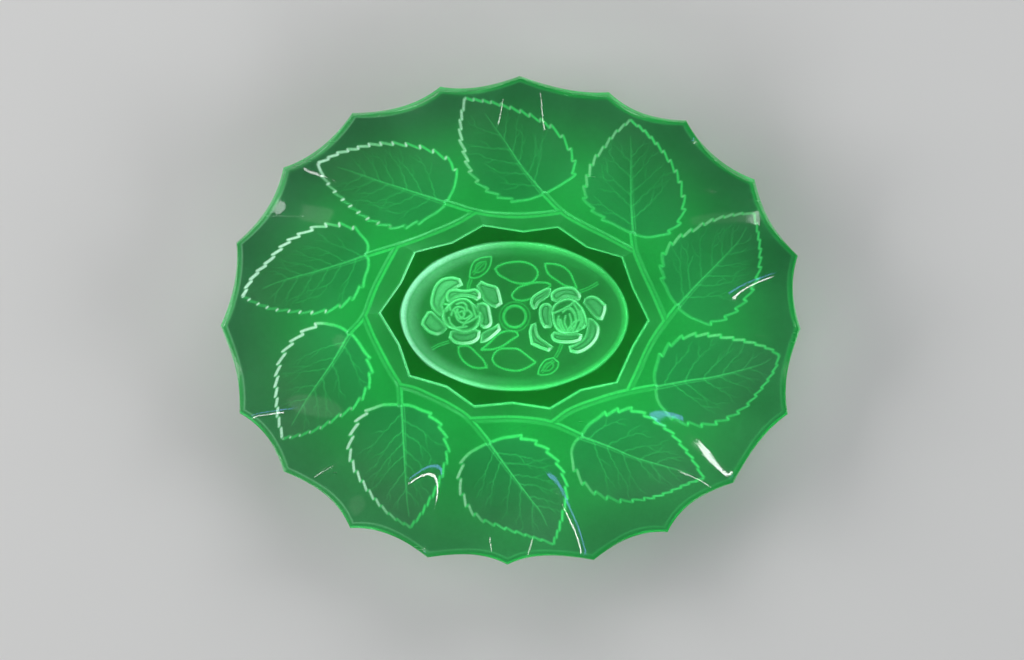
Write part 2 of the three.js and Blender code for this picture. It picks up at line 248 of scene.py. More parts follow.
def inside(poly, pad):
    """Window of a closed line, and the distance in from it, negative outside."""
    i0, i1, j0, j1 = span(poly.min(0), poly.max(0), pad)
    D = np.full((j1 - j0, i1 - i0), pad, np.float32)
    for (sj, si), d, _ in runs(poly, pad, True):
        w = D[sj.start - j0:sj.stop - j0, si.start - i0:si.stop - i0]
        np.minimum(w, d, out=w)
    odd = np.zeros((j1 - j0, i1 - i0 + 1), np.int32)
    for a, b in zip(poly, np.roll(poly, -1, 0)):
        if a[1] == b[1]:
            continue
        lo, hi = (a, b) if a[1] < b[1] else (b, a)
        r0 = int(math.ceil((lo[1] - Y0) / CELL)); r1 = int(math.ceil((hi[1] - Y0) / CELL))
        r = np.arange(max(r0, j0), min(r1, j1))
        if len(r):
            x = lo[0] + (Y0 + CELL * r - lo[1]) / (hi[1] - lo[1]) * (hi[0] - lo[0])
            c = np.clip(np.ceil((x - X0) / CELL).astype(int) - i0, 0, i1 - i0)
            np.add.at(odd, (r - j0, c), 1)
    within = (np.cumsum(odd, 1)[:, :-1] % 2) == 1
    # far inside, the distance is capped at the pad
    return (slice(j0, j1), slice(i0, i1)), np.where(within, D, -D)


def ridge(F, p, width, height, closed=False, mask=None):
    """Raises a rounded ridge along a line. width and height are a number or (start, end)."""
    w0, w1 = width if isinstance(width, tuple) else (width, width)
    h0, h1 = height if isinstance(height, tuple) else (height, height)
    for win, d, t in runs(p, max(w0, w1) + CELL, closed):
        w = w0 + (w1 - w0) * t
        h = h0 + (h1 - h0) * t
        q = np.clip(1 - (d / w) ** 2, 0, 1)
        np.maximum(F[win], (h * q * q).astype(np.float32), out=F[win])
        if mask is not None:
            np.maximum(mask[win], (q > 0.02).astype(np.float32), out=mask[win])


# ---------------------------------------------------------------- the leaves
leaf_in = field(-4.0)      # distance in from the nearest leaf outline
leaf_id = np.zeros((NY, NX), np.int8)
veins = field()
mids = field()
ribs = field()


def toothed(side, base_smooth=0.12):
    """One side of a leaf from base to tip, drawn out into teeth that lean towards the tip."""
    line = curve(side, 0.14)
    s = np.concatenate([[0.0], np.cumsum(np.hypot(*np.diff(line, axis=0).T))])
    edges, at = [], base_smooth * s[-1]
    while at < s[-1] - 3.0:
        edges.append(at)
        at += (8.4 - 4.2 * (at / s[-1]) ** 1.5) * rng.uniform(0.88, 1.12)
    edges = np.array(edges + [s[-1]])
    out = np.zeros(len(s))
    k = np.searchsorted(edges, s, side="right") - 1
    ok = (k >= 0) & (k < len(edges) - 1)
    f = (s[ok] - edges[k[ok]]) / (edges[k[ok] + 1] - edges[k[ok]])
    out[ok] = np.where(f < 0.90, (f / 0.90) ** 1.25, (1 - f) / 0.10)
    grow = smooth((s / s[-1] - base_smooth + 0.03) / 0.12)
    reach = grow * (1.95 - 0.95 * smooth((s / s[-1] - 0.35) / 0.6))
    along = np.gradient(line, axis=0)
    along /= np.maximum(np.hypot(*along.T), 1e-6)[:, None]
    lean = np.where(out > 0, 0.42 * out * reach, 0.0)
    lean[-12:] *= np.linspace(1, 0, 12)
    return line + along * lean[:, None], (out - 0.42) * reach * (s < s[-1] - 0.3)


LEAF_SHAPES = []
for n, (base, a, tip, b, mid) in enumerate(LEAVES):
    la, oa = toothed([base, *a, tip])
    lb, ob = toothed([base, *b, tip])
    line = np.vstack([la, lb[::-1][1:-1]])
    out = np.concatenate([oa, ob[::-1][1:-1]])
    plain = np.vstack([curve([base, *a, tip], 0.14), curve([base, *b, tip], 0.14)[::-1][1:-1]])
    ahead = np.roll(plain, -9, 0) - np.roll(plain, 9, 0)
    normal = np.stack([ahead[:, 1], -ahead[:, 0]], 1) / np.maximum(np.hypot(*ahead.T), 1e-6)[:, None]
    area = np.sum(plain[:, 0] * np.roll(plain[:, 1], -1) - np.roll(plain[:, 0], -1) * plain[:, 1])
    if area < 0:
        normal = -normal
    line = resample(np.vstack([line + normal * out[:, None], (line + normal * out[:, None])[:1]]), 0.22)[:-1]
    win, s = inside(line, 3.0)
    np.maximum(leaf_in[win], s, out=leaf_in[win])
    leaf_id[win][s > 0] = n + 1
    LEAF_SHAPES.append((np.array(base), np.array(tip), np.vstack([a[0], *a, tip]), np.vstack([b[0], *b, tip]), curve(mid, 0.4)))


def ray_to(side, p, d):
    """How far a ray from p along d runs before it meets a side of the leaf."""
    best = 40.0
    for q0, q1 in zip(side[:-1], side[1:]):
        e = q1 - q0
        den = d[0] * e[1] - d[1] * e[0]
        if abs(den) > 1e-9:
            w = q0 - p
            t = (w[0] * e[1] - w[1] * e[0]) / den
            u = (w[0] * d[1] - w[1] * d[0]) / den
            if t > 0 and 0 <= u <= 1:
                best = min(best, t)
    return best


def vein(F, p, d, length, turn, width, height, forks):
    """A thin vein that runs in short kinked lengths and may fork."""
    pts, at, heading = [p], np.array(p), math.atan2(d[1], d[0])
    side, done, fork_at = rng.choice([-1, 1]), 0.0, rng.uniform(0.35, 0.6) * length
    while done < length:
        step = rng.uniform(1.5, 3.0)
        side = -side
        h = heading + turn * done / length + side * rng.uniform(0.12, 0.34)
        at = at + step * np.array([math.cos(h), math.sin(h)])
        pts.append(at)
        done += step
        if forks and done > fork_at:
            forks, fork_at = forks - 1, done + 0.3 * length
            g = heading + turn * done / length + side * rng.uniform(0.5, 0.8)
            vein(F, at, (math.cos(g), math.sin(g)), length * rng.uniform(0.20, 0.38), -side * 0.4, width * 0.9, height * 0.8, 0)
    ridge(F, resample(pts, 0.5), (width, width * 0.66), (height, height * 0.40))


for n, (base, tip, sa, sb, mid) in enumerate(LEAF_SHAPES):
    ridge(mids, mid, (0.92, 0.40), (0.46, 0.14))
    gone = int(0.86 * len(mid))
    run = np.gradient(mid, axis=0)
    beside = np.stack([-run[:, 1], run[:, 0]], 1) / np.maximum(np.hypot(*run.T), 1e-6)[:, None]
    if beside[len(mid) // 2] @ np.array([0.35, -1.0]) < 0:
        beside = -beside
    ridge(mids, (mid + beside * np.linspace(1.55, 0.5, len(mid))[:, None])[:gone], (0.52, 0.30), (0.22, 0.06))
    L = np.concatenate([[0.0], np.cumsum(np.hypot(*np.diff(mid, axis=0).T))])
    for side, sign in ((sa, 0), (sb, 1)):
        k = 5 + int(rng.integers(0, 2))
        for i in range(k):
            t = 0.07 + 0.80 * (i + 0.35 * sign + rng.uniform(-0.15, 0.15)) / k
            j = min(len(mid) - 2, int(np.searchsorted(L, t * L[-1])))
            tan = mid[j + 1] - mid[j]
            tan = tan / np.hypot(*tan)
            across = np.array([-tan[1], tan[0]])
            mean = side[len(side) // 2] - mid[len(mid) // 2]
            if across @ mean < 0:
                across = -across
            ang = rng.uniform(0.90, 1.10) - 0.28 * t
            d = math.cos(ang) * tan + math.sin(ang) * across
            far = ray_to(side, mid[j], d)
            if far > 4:
                s = 1 if (d[0] * tan[1] - d[1] * tan[0]) > 0 else -1
                vein(veins, mid[j] + 0.4 * d, d, min(far * rng.uniform(0.72, 0.95), 34.0), s * rng.uniform(0.25, 0.5), 0.58, 0.24, int(far > 9) + int(far > 22))
veins *= smooth((leaf_in + 0.2) / 0.8)
mids *= smooth((leaf_in + 0.2) / 0.8)

for line in STEMS:
    ridge(ribs, curve(line, 0.4), 1.9, 0.85)

# ------------------------------------------------------------- the medallion
rose = field()             # height of the roses, buds and sprigs over the recess
petal = field()            # 1 on a petal
crease_shade = field()           # painted shade in the grooves just inside a petal's lip, and in a thin line outside it
lip_f = field()            # the lips, which get a brighter painted glow
petal_glow = field()             # how strongly a petal shows the painted glow
lip_highlight_f = field()          # painted white highlight on the lips that face right


def lay(poly, height, lip, pad=4.5, hub=None, dark=1.0, cloud=0.45):
    """Lays a pillow with a raised lip over what is below it. The lip and its groove are on the side away from hub."""
    win, s = inside(poly, pad)
    body = smooth((s + 0.15) / 0.75)
    y = (Y0 + CELL * np.arange(win[0].start, win[0].stop))[:, None] - hub[1]
    x = (X0 + CELL * np.arange(win[1].start, win[1].stop))[None, :] - hub[0]
    r = np.hypot(x, y)
    mean = np.hypot(*(poly - hub).T)
    away = smooth((r - np.quantile(mean, 0.30)) / max(2.2, 0.35 * (mean.max() - mean.min())))
    top = height + lip * np.exp(-((s - 0.95) / 0.58) ** 2) * (0.45 + 0.55 * away)
    dent = np.exp(-((s - 2.05) / 0.46) ** 2) * (0.25 + 0.75 * away) * dark
    top = top - 0.45 * dent + 0.32 * smooth((s - 2.2) / 2.0) * (0.4 + 0.6 * away)
    band = np.exp(-((s - 0.80) / 0.66) ** 4) * (0.40 + 0.60 * away)
    gy, gx = np.gradient(s)
    g = np.maximum(np.hypot(gx, gy), 1e-5)
    # a painted white highlight on the part of each lip that faces right
    white = band * np.clip((-gx * 0.85 + gy * 0.45) / g - 0.25, 0, 1) * away
    F, P, C, L, W = rose[win], petal[win], crease_shade[win], lip_f[win], lip_highlight_f[win]
    F[:] = F * (1 - body) + body * top
    P[:] = np.maximum(P * (1 - body), body)
    # a thin line of painted shade is left outside each petal, against the one below
    C[:] = np.maximum(C * (1 - body), np.maximum(dent * body, 0.8 * np.exp(-((s + 0.45) / 0.42) ** 2) * P))
    L[:] = np.maximum(L * (1 - body), band * body)
    W[:] = np.maximum(W * (1 - body), white * body)
    # the petal's share of painted glow, stronger towards its middle
    petal_glow[win] = petal_glow[win] * (1 - body) + body * cloud * (0.55 + 0.45 * smooth((s - 2.0) / 2.0))


HUB_A, HUB_B = np.array([-26.2, 2.6]), np.array([32.3, 2.0])
core_a = outline([(-37, 4), (-34.9, 7.6), (-31.2, 10.8), (-26, 12.0), (-21.8, 10.4), (-18.2, 7), (-16.4, 3.0), (-16.9, -1.2),
                  (-19.4, -5.0), (-23.6, -6.8), (-28.4, -6.4), (-33.2, -4.6), (-36.6, -0.6)], sharp=80)
core_b = outline([(22.6, 4.4), (24.4, 9.4), (28.6, 12.2), (33.4, 12.6), (37.6, 9.8), (40.4, 5.6), (42.0, 0.6), (41.0, -3.4),
                  (37.0, -6.0), (31.0, -6.9), (26.4, -5.4), (23.6, -1.0)], sharp=80)
named = dict(PETALS)
PETAL_GLOW = {"A1": 1.0, "A2": 1.0, "B1": 0.9, "B2": 1.0, "B4": 0.9, "A5": 0.7, "B6": 0.6}
for k in ("A1", "A5", "A3", "A7"):
    lay(outline(named[k]), 0.95, 0.42, hub=HUB_A, cloud=PETAL_GLOW.get(k, 0.62))
for k in ("B1", "B3", "B7", "B5"):
    lay(outline(named[k]), 0.95, 0.42, hub=HUB_B, cloud=PETAL_GLOW.get(k, 0.62))
for k in ("A2", "A4", "A6"):
    lay(outline(named[k]), 1.25, 0.42, hub=HUB_A, cloud=PETAL_GLOW.get(k, 0.62))
for k in ("B2", "B4", "B6"):
    lay(outline(named[k]), 1.25, 0.42, hub=HUB_B, cloud=PETAL_GLOW.get(k, 0.62))
lay(core_a, 1.45, 0.30, hub=HUB_A, dark=0.0, cloud=0.0)
lay(core_b, 1.45, 0.30, hub=HUB_B, dark=0.0, cloud=0.0)
folds = field()
fold_f = field()
for line in FOLDS:
    ridge(folds, curve(line, 0.3), 0.85, 0.46)
    ridge(fold_f, curve(line, 0.3), 1.00, 1.0)
sprig_f = field()
for k, line in SPRIG_LEAVES:
    o = outline(line)
    win, s = inside(o, 2.0)
    if k.startswith("bud"):
        body = smooth((s + 0.2) / 0.8)
        rose[win] = rose[win] * (1 - body) + body * (0.55 + 0.25 * smooth(s / 2.4))
        ridge(folds, o, 0.62, 0.22, True)
        c = o.mean(0)
        ridge(folds, outline(c + (np.asarray(line) - c) * 0.52), 0.5, 0.22, True)
        ridge(sprig_f, o, 0.70, 1.0, True)
        ridge(sprig_f, outline(c + (np.asarray(line) - c) * 0.52), 0.55, 0.8, True)
    else:
        free = 1 - petal[win]
        body = smooth((s + 0.1) / 0.8) * free
        rose[win] = rose[win] * (1 - body) + body * 0.22
        # the sprig leaves have a finely nicked edge
        nick = np.linspace(0, 2 * np.pi * max(10, len(o) * 0.3 / 1.5), len(o))
        c = np.roll(o, -2, 0) - np.roll(o, 2, 0)
        nn = np.stack([c[:, 1], -c[:, 0]], 1) / np.maximum(np.hypot(*c.T), 1e-6)[:, None]
        edge = field()
        ridge(edge, o + nn * 0.24 * np.sin(nick)[:, None], 0.62, 0.42, True)
        np.maximum(folds[win], edge[win] * free, out=folds[win])
        np.maximum(sprig_f[win], np.clip(edge[win] / 0.30, 0, 1) * free, out=sprig_f[win])
for line in TWIGS:
    t = curve(line, 0.3)
    run = np.gradient(t, axis=0)
    beside = np.stack([-run[:, 1], run[:, 0]], 1) / np.maximum(np.hypot(*run.T), 1e-6)[:, None]
    for off in (-0.62, 0.62):
        ridge(folds, t + beside * off, 0.48, 0.26)
        ridge(sprig_f, t + beside * off, 0.50, 0.7)
mark = np.array([2.5, 2.3])
ring_a = np.stack([mark[0] + 6.1 * np.cos(np.linspace(0, 2 * np.pi, 120, endpoint=False)), mark[1] + 6.1 * np.sin(np.linspace(0, 2 * np.pi, 120, endpoint=False))], 1)
ring_b = mark + (ring_a - mark) * (8.3 / 6.1)
ridge(folds, ring_a, 1.0, 0.55, True)
ridge(folds, ring_b, 0.6, 0.20, True)
ridge(sprig_f, ring_a, 1.05, 1.2, True)
ridge(sprig_f, ring_b, 0.55, 0.55, True)

# thickness that the pattern adds to the underside, below the plain shape
LEAF_DEPTH = 0.62
bold = -LEAF_DEPTH * smooth((leaf_in + 0.65) / 1.3) * (1 - smooth(ribs / 0.5)) + ribs
flange_relief = bold - ribs + np.maximum(ribs, np.maximum(veins, mids))
recess_relief = rose + folds
gy, gx = np.gradient(bold, CELL)
slope_f = np.hypot(gx, gy)
ux, uy = gx / np.maximum(slope_f, 1e-4), gy / np.maximum(slope_f, 1e-4)
xs = (X0 + CELL * np.arange(NX))[None, :].astype(np.float32)
ys = (Y0 + CELL * np.arange(NY))[:, None].astype(np.float32)
rr = np.maximum(np.hypot(xs - CENTRE[0], ys - CENTRE[1]), 1)
outw = ux * (xs - CENTRE[0]) / rr + uy * (ys - CENTRE[1]) / rr     # +1 where the glass thickens outwards


def blur(F, n=1):
    for _ in range(n):
        F = (np.roll(F, 1, 0) + 2 * F + np.roll(F, -1, 0)) / 4
        F = (np.roll(F, 1, 1) + 2 * F + np.roll(F, -1, 1)) / 4
    return F


# masks for painted light along the leaf pattern: glowing slopes, stronger on one side of the stems; bands along the
# leaf edges; a painted white highlight on edges facing left; and edges facing right and up lit brighter
edge_band = np.exp(-((leaf_in - 0.10) / 0.78) ** 4) * (1 - smooth(ribs / 0.25))
line_f = blur(smooth(slope_f / 0.42) * np.where(ribs > 0.02, 0.30 + 0.85 * smooth(0.5 + 0.75 * outw), 1.0), 1)
edge_f = blur(edge_band, 1)
left_highlight_f = blur(edge_band * np.clip(-1.15 * ux + 0.55 * uy - 0.10, 0, 1), 1)
right_up = blur(edge_band * np.clip(0.7 * ux + 0.5 * uy, -1, 1), 1)
gy2, gx2 = np.gradient(recess_relief, CELL)
slope_r = np.hypot(gx2, gy2)
line_r = blur(smooth(slope_r / 0.8) * (1 - 0.75 * petal), 1)
vein_f = blur(np.clip(veins / 0.20, 0, 1), 1)
mid_f = blur(np.clip(mids / 0.26, 0, 1), 1)
right_r = blur(smooth(slope_r / 0.9) * np.clip(-gx2 / np.maximum(slope_r, 1e-4) + 0.25 * gy2 / np.maximum(slope_r, 1e-4), 0, 1), 1)


def take(F, x, y):
    """Reads a field between its cells."""
    u = np.clip((x - X0) / CELL, 0, NX - 1.001)
    v = np.clip((y - Y0) / CELL, 0, NY - 1.001)
    i, j = u.astype(int), v.astype(int)
    a, b = u - i, v - j
    return (F[j, i] * (1 - a) * (1 - b) + F[j, i + 1] * a * (1 - b) + F[j + 1, i] * (1 - a) * b + F[j + 1, i + 1] * a * b)

# ------------------------------------------------------------- plain surfaces
COARSE = 960                      # columns of the well and of the upper face; the flange has twice as many
FINE = 2 * COARSE


def rim_line(n):
    t = np.arange(n) / n
    P = np.array(RIM); Q = np.roll(P, -1, 0)
    d = Q - P
    l = np.hypot(d[:, 0], d[:, 1])
    s = -4 * np.array(SAG)[:, None] * t * (1 - t)
    x = P[:, 0, None] + d[:, 0, None] * t - (d[:, 1] / l)[:, None] * s
    y = P[:, 1, None] + d[:, 1, None] * t + (d[:, 0] / l)[:, None] * s
    return np.stack([x.ravel(), y.ravel()], 1)[::-1]          # anticlockwise


def radial(line, th):
    """Distance from the centre to a closed line round it, at angles th."""
    p = np.asarray(line, float) - CENTRE
    a = np.unwrap(np.arctan2(p[:, 1], p[:, 0]))
    if a[-1] < a[0]:
        p, a = p[::-1], a[::-1]
    th = (np.asarray(th) - a[0]) % (2 * np.pi) + a[0]
    a = np.append(a, a[0] + 2 * np.pi)
    p = np.vstack([p, p[:1]])
    i = np.clip(np.searchsorted(a, th, side="right") - 1, 0, len(a) - 2)
    P, Q = p[i], p[i + 1]
    c, s = np.cos(th), np.sin(th)
    dx, dy = Q[..., 0] - P[..., 0], Q[..., 1] - P[..., 1]
    return (P[..., 0] * dy - P[..., 1] * dx) / (c * dy - s * dx)


def fourier(a, v, m):
    """A smooth periodic function fitted to samples."""
    A = [np.ones_like(a)]
    for k in range(1, m + 1):
        A += [np.cos(k * a), np.sin(k * a)]
    co = np.linalg.lstsq(np.stack(A, 1), v, rcond=None)[0]

    def f(x):
        out = np.full_like(x, co[0])
        for k in range(1, m + 1):
            out = out + co[2 * k - 1] * np.cos(k * x) + co[2 * k] * np.sin(k * x)
        return out
    return f


edge_line = rim_line(FINE // 20)
th = np.arctan2(edge_line[:, 1] - CENTRE[1], edge_line[:, 0] - CENTRE[0])
C, S = np.cos(th), np.sin(th)
r_rim = np.hypot(edge_line[:, 0] - CENTRE[0], edge_line[:, 1] - CENTRE[1])
tips = np.array(RIM) - CENTRE
rim_soft = fourier(np.arctan2(tips[:, 1], tips[:, 0]), np.hypot(*tips.T), 6)(th)
many = np.linspace(0, 2 * np.pi, 720, endpoint=False)
ring_soft = fourier(many, radial(RING, many), 4)(th)
star_soft = fourier(many, radial(STAR, many), 6)(th)
r_ring, r_star = radial(RING, th), radial(STAR, th)
r_oval = 1 / np.hypot(C / OVAL[0], S / OVAL[1])


def wave_at(x, y):
    e = np.arctan2(y / HALF_Y, x / HALF_X)
    u = (np.pi / 2 - e) * 10 / np.pi + PHASE[0]
    for m in range(1, 5):
        u = u + PHASE[2 * m - 1] * np.cos(m * e) + PHASE[2 * m] * np.sin(m * e)
    return -np.cos(np.pi * u)


w_col = wave_at(CENTRE[0] + rim_soft * C, CENTRE[1] + rim_soft * S)


def flange_z(r, k):
    """Height of the flange's underside at radius r of columns k, before the pattern."""
    t = (r - ring_soft[k]) / (rim_soft[k] - ring_soft[k])
    return RING_Z + RISE * t + WAVE * w_col[k] * np.maximum(t, 0) ** WAVE_POW


ALL = np.arange(FINE)
HALF = ALL[::2]
rings, notes = [], []            # each ring: (x, y, z) rows, and its attribute rows


def add_ring(r, z, k, zone, **at):
    x, y = CENTRE[0] + r * C[k], CENTRE[1] + r * S[k]
    rings.append(np.stack([x, y, z * np.ones_like(x)], 1))
    row = {"zone": zone, "k": k, "r": r}
    row.update(at)
    notes.append(row)


# underside, from the centre out
quarter = HALF[::4]
med = r_oval - BEVEL


def pattern(F, r, k):
    return take(F, CENTRE[0] + r * C[k], CENTRE[1] + r * S[k])


def columns_for(share):
    return quarter if share < 0.07 else (HALF[::2] if share < 0.22 else HALF)


for i in range(1, 126):
    share = i / 125
    k = columns_for(share)
    r = med[k] * share
    fade = smooth((1 - share) / 0.02)
    add_ring(r, RECESS - pattern(recess_relief, r, k) * fade, k, "recess")
for a in np.linspace(0, math.pi / 2, 11)[1:]:     # a quarter round from the recess down to the foot
    add_ring(med[HALF] + BEVEL * math.sin(a), RECESS * math.cos(a) ** 0.9 if a < 1.57 else 0.0, HALF, "border", turn=a)
for s in np.linspace(0, 1, 9)[1:]:
    add_ring(r_oval[HALF] + (r_star[HALF] - r_oval[HALF] - 0.35) * s, 0.0, HALF, "foot")
for k in (ALL,):
    for q in np.linspace(0, 1, 8)[1:]:              # the small rounded step round the foot
        rr_ = r_star[k] - 0.35 + 1.5 * q
        add_ring(rr_, STEP_Z * smooth(q) + 0.0, k, "step", s=q)
    z_ring = flange_z(r_ring, ALL)
    n = 22
    for s in np.linspace(0, 1, n + 1)[1:]:
        rr_ = r_star[k] + 1.15 + (r_ring[k] - r_star[k] - 1.15) * s
        z = STEP_Z + (z_ring[k] - STEP_Z) * (0.86 * s + 0.14 * s * s)
        add_ring(rr_, z - pattern(flange_relief, rr_, k), k, "collar", s=s)
    t_rim = (r_rim - ring_soft) / (rim_soft - ring_soft)
    slope = (RISE + WAVE * w_col * WAVE_POW * np.maximum(t_rim, 0) ** (WAVE_POW - 1)) / (rim_soft - ring_soft)
    phi = np.arctan(slope)
    EDGE = 1.0
    r_in = r_rim - EDGE * np.cos(phi)
    n = 160
    for s in np.linspace(0, 1, n + 1)[1:]:
        rr_ = r_ring[k] + (r_in[k] - r_ring[k]) * s
        fade = smooth((1 - s) * 70 / 2.0)
        add_ring(rr_, flange_z(rr_, k) - pattern(flange_relief, rr_, k) * fade, k, "flange", s=s)
    z0 = flange_z(r_rim, ALL)
    er, nu = np.stack([np.cos(phi), np.sin(phi)]), np.stack([-np.sin(phi), np.cos(phi)])
    P0 = np.stack([r_rim, z0])
    P1 = P0 + RIM_T * nu
    c0, c1 = P0 - EDGE * er + EDGE * nu, P1 - EDGE * er - EDGE * nu
    for a in np.linspace(0, math.pi / 2, 6)[1:]:
        p = c0 + EDGE * (er * math.sin(a) - nu * math.cos(a))
        add_ring(p[0], p[1], ALL, "rim", s=0.25 * a)
    for q in (0.33, 0.67, 1.0):
        p = (c0 + EDGE * er) * (1 - q) + (c1 + EDGE * er) * q
        add_ring(p[0], p[1], ALL, "rim", s=0.4 + 0.2 * q)
    for a in np.linspace(0, math.pi / 2, 6)[1:]:
        p = c1 + EDGE * (er * math.cos(a) + nu * math.sin(a))
        add_ring(p[0], p[1], ALL, "rim", s=0.6 + 0.25 * a)
UNDER_END = next(i for i, m in enumerate(notes) if m["zone"] == "rim") - 1
TOP_START = len(rings) - 1

# the smooth upper face, from the rim in
p_in = P1 - EDGE * er
wall_rim = p_in[1] - flange_z(p_in[0], ALL)
k = HALF
for s in np.linspace(0, 1, 76)[1:-1]:
    r = p_in[0][k] * (1 - s)
    if s > 0.70:
        k2 = HALF[::2] if s < 0.88 else quarter
        r = p_in[0][k2] * (1 - s)
    else:
        k2 = k
    t = np.clip((r - ring_soft[k2]) / (rim_soft[k2] - ring_soft[k2]), -3, 2)
    wall = WALL + (wall_rim[k2] - WALL) * np.clip(t, 0, 1) ** 3
    up = RING_Z + RISE * t + WAVE * w_col[k2] * np.maximum(t, 0) ** WAVE_POW + wall
    z = 0.5 * (WELL_Z + up + np.sqrt((WELL_Z - up) ** 2 + 2.6 ** 2))
    z = np.where(up < WELL_Z - 14, WELL_Z, z)
    z = WELL_Z + (z - WELL_Z) * smooth((up - (WELL_Z - 14)) / 14)
    # the mould leaves faint, broad unevenness in the polished face
    x, y = CENTRE[0] + r * C[k2], CENTRE[1] + r * S[k2]
    z = z + 0.035 * np.sin(x / 9.1 + 1.3 * np.sin(y / 13.0)) * np.sin(y / 7.7 + 0.9 * np.sin(x / 17.0)) * smooth(s / 0.05)
    add_ring(r, z, k2, "top", s=s)

# ---------------------------------------------------------------- joining up
offsets = np.concatenate([[0], np.cumsum([len(r) for r in rings])])
verts = np.vstack(rings + [[[CENTRE[0], CENTRE[1], RECESS - float(take(recess_relief, CENTRE[:1], CENTRE[1:])[0])]], [[CENTRE[0], CENTRE[1], WELL_Z]]])
c_low, c_top = len(verts) - 2, len(verts) - 1
quads, tris, quad_part, tri_part = [], [], [], []


def part_of(i):
    return 0 if i < UNDER_END else (1 if i < TOP_START else 2)


def fan(a, b, c):
    return np.stack([a, b, c], 1)


for i in range(len(rings) - 1):
    a, b = len(rings[i]), len(rings[i + 1])
    oa, ob = offsets[i], offsets[i + 1]
    if a == b:
        j = np.arange(a); jn = (j + 1) % a
        f = np.stack([oa + j, oa + jn, ob + jn, ob + j], 1)
        quads.append(f); quad_part.append(np.full(len(f), part_of(i)))
    elif b > a:
        assert b == 2 * a or b == 4 * a
        m = b // a
        j = np.arange(a); jn = (j + 1) % a
        f = [fan(oa + j, oa + jn, ob + j * m + m // 2)]
        for q in range(m // 2):
            f.append(fan(oa + j, ob + j * m + q + 1, ob + j * m + q))
            f.append(fan(oa + jn, ob + (j * m + m - q) % b, ob + j * m + m - q - 1))
        f = np.vstack(f)
        tris.append(f); tri_part.append(np.full(len(f), part_of(i)))
    else:
        m = a // b
        j = np.arange(b); jn = (j + 1) % b
        f = [fan(ob + jn, ob + j, oa + j * m + m // 2)]
        for q in range(m // 2):
            f.append(fan(ob + j, oa + j * m + q, oa + j * m + q + 1))
            f.append(fan(ob + jn, oa + j * m + m - q - 1, oa + (j * m + m - q) % a))
        f = np.vstack(f)
        tris.append(f); tri_part.append(np.full(len(f), part_of(i)))
j = np.arange(len(rings[0])); jn = (j + 1) % len(j)
tris.append(fan(jn, j, np.full(len(j), c_low))); tri_part.append(np.zeros(len(j), int))
j = np.arange(len(rings[-1])); jn = (j + 1) % len(j)
tris.append(fan(offsets[-2] + j, offsets[-2] + jn, np.full(len(j), c_top))); tri_part.append(np.full(len(j), 2))
quads, tris = np.vstack(quads), np.vstack(tris)
quad_part, tri_part = np.concatenate(quad_part), np.concatenate(tri_part)

# --------------------------------------------------- masks, as vertex colours
PAINTED_GLOW, TINT, GRAIN = [], [], []   # painted glow (light given off, with painted highlights and shade in it), body colour, and satin (1) or polished (0)


def rgb(*c):
    return np.array(c, float)[None, :]


def mix(a, b, t):
    t = np.asarray(t, float)[:, None]
    return a * (1 - t) + b * t


# painted glow given off, by zone: the glass glows though no lamp here makes it glow, and this glow carries painted
# highlights and shade
E_BETWEEN, E_PETAL, E_CREASE_SHADE = rgb(0.026, 0.115, 0.042), rgb(0.190, 0.500, 0.270), rgb(0.008, 0.040, 0.014)
E_LIP, E_PAINTED_HIGHLIGHT, E_SPRIG = rgb(0.260, 0.780, 0.370), rgb(1.370, 1.050, 1.250), rgb(0.080, 0.640, 0.170)
E_FOOT, T_FOOT = rgb(0.0001, 0.042, 0.0020), rgb(0.0006, 0.300, 0.0150)
E_NEAR, E_COLLAR = rgb(0.008, 0.180, 0.040), rgb(0.010, 0.115, 0.028)
E_FAR, E_FAR_LEFT_SHADE, T_FAR = rgb(0.006, 0.030, 0.012), rgb(0.018, 0.000, 0.014), rgb(0.0040, 0.060, 0.0140)
# the upper face is tinted lightly and the underside deeply
T_FACE = rgb(0.180, 0.750, 0.350)

# haze left by handling and wiping on the polished face, which also gets a painted grey sheen: outline, strength
MARKS = [([(-112.4, 67.5), (-104.6, 66.3), (-96.2, 63.8), (-97.8, 58.7), (-99.9, 54.6), (-107.3, 56.4), (-114.1, 58.7), (-113.5, 63.5)], 1.0), ([(-90.5, -47.8), (-92.1, -50.4), (-97.4, -51.8), (-104.5, -51.2), (-112.6, -49.7), (-118.1, -46.6), (-120.8, -43.5), (-119.2, -40.8), (-113.9, -39.2), (-106.8, -39.8), (-98.7, -41.5), (-93.3, -44.7)], 0.8), ([(-95.3, -6.5), (-92.1, -6.1), (-89.4, -8.5), (-89.9, -12.4), (-92.6, -14.5), (-95.3, -12.7), (-96.4, -9.3)], 0.8), ([(93.4, 63.7), (104.5, 66.8), (116.4, 68.2), (128.6, 67.5), (130.4, 62.7), (117.7, 61.7), (105.2, 60.4), (94.8, 59.2)], 0.6), ([(-86.1, -97.4), (-80.6, -96.0), (-77.3, -100.1), (-78.9, -105.2), (-83.2, -108.0), (-86.5, -103.9)], 0.7)]
haze_and_sheen = field()
for line, strength in MARKS:
    win, s = inside(curve(line + line[:1], 0.5)[:-1], 3.0)
    np.maximum(haze_and_sheen[win], strength * smooth((s + 0.6) / 1.8), out=haze_and_sheen[win])

